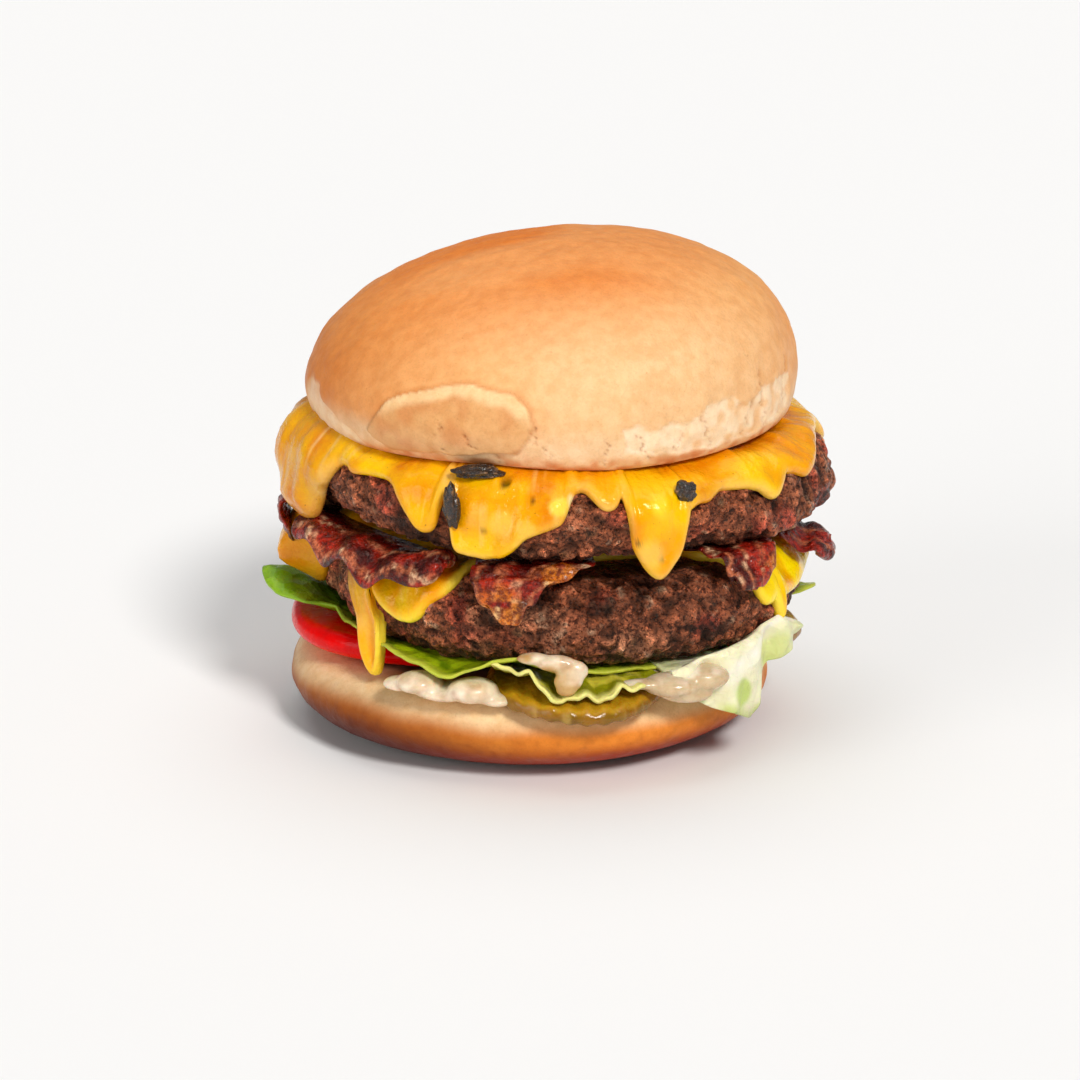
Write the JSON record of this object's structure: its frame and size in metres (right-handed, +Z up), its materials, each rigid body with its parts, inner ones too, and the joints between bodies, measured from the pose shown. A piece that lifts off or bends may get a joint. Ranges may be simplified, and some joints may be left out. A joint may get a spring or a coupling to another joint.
{
  "type": "double cheeseburger",
  "caption": "Stacked burger: domed bun over beef patties with melted cheese, bacon strips, lettuce, tomato, pickle and sauce on a squat lower bun.",
  "frame": {"origin": "on the flat foot of the lower bun, where the burger rests, 5 mm to the right of the lower bun's middle", "axes": "+Z up through the stack; the front shown in the picture faces -Y; +X is the viewer's right"},
  "size_m": [0.1266, 0.123, 0.1096],
  "materials": {
    "bun": "satin",
    "patty": "rough, moist",
    "cheese": "glossy, melted",
    "bacon": "glossy, fried",
    "lettuce": "satin leaf",
    "lettuce_pale": "satin leaf",
    "tomato": "wet",
    "pickle": "wet",
    "sauce": "glossy",
    "char": "burnt"
  },
  "bodies": {
    "root": {"bun_bottom": "bun", "bun_top": "bun", "patty_lower": "patty", "patty_upper": "patty", "cheese_lower": "cheese", "cheese_upper": "cheese", "bacon_left": "bacon", "bacon_front": "bacon", "bacon_right": "bacon", "bacon_cross": "bacon", "lettuce_leaf": "lettuce", "lettuce_frill": "lettuce", "lettuce_crisp": "lettuce_pale", "tomato": "tomato", "pickle_front": "pickle", "pickle_right": "pickle", "sauce_left": "sauce", "sauce_right": "sauce", "sauce_flap": "sauce", "char_left": "char", "char_middle": "char", "char_right": "char"}
  },
  "joints": []
}
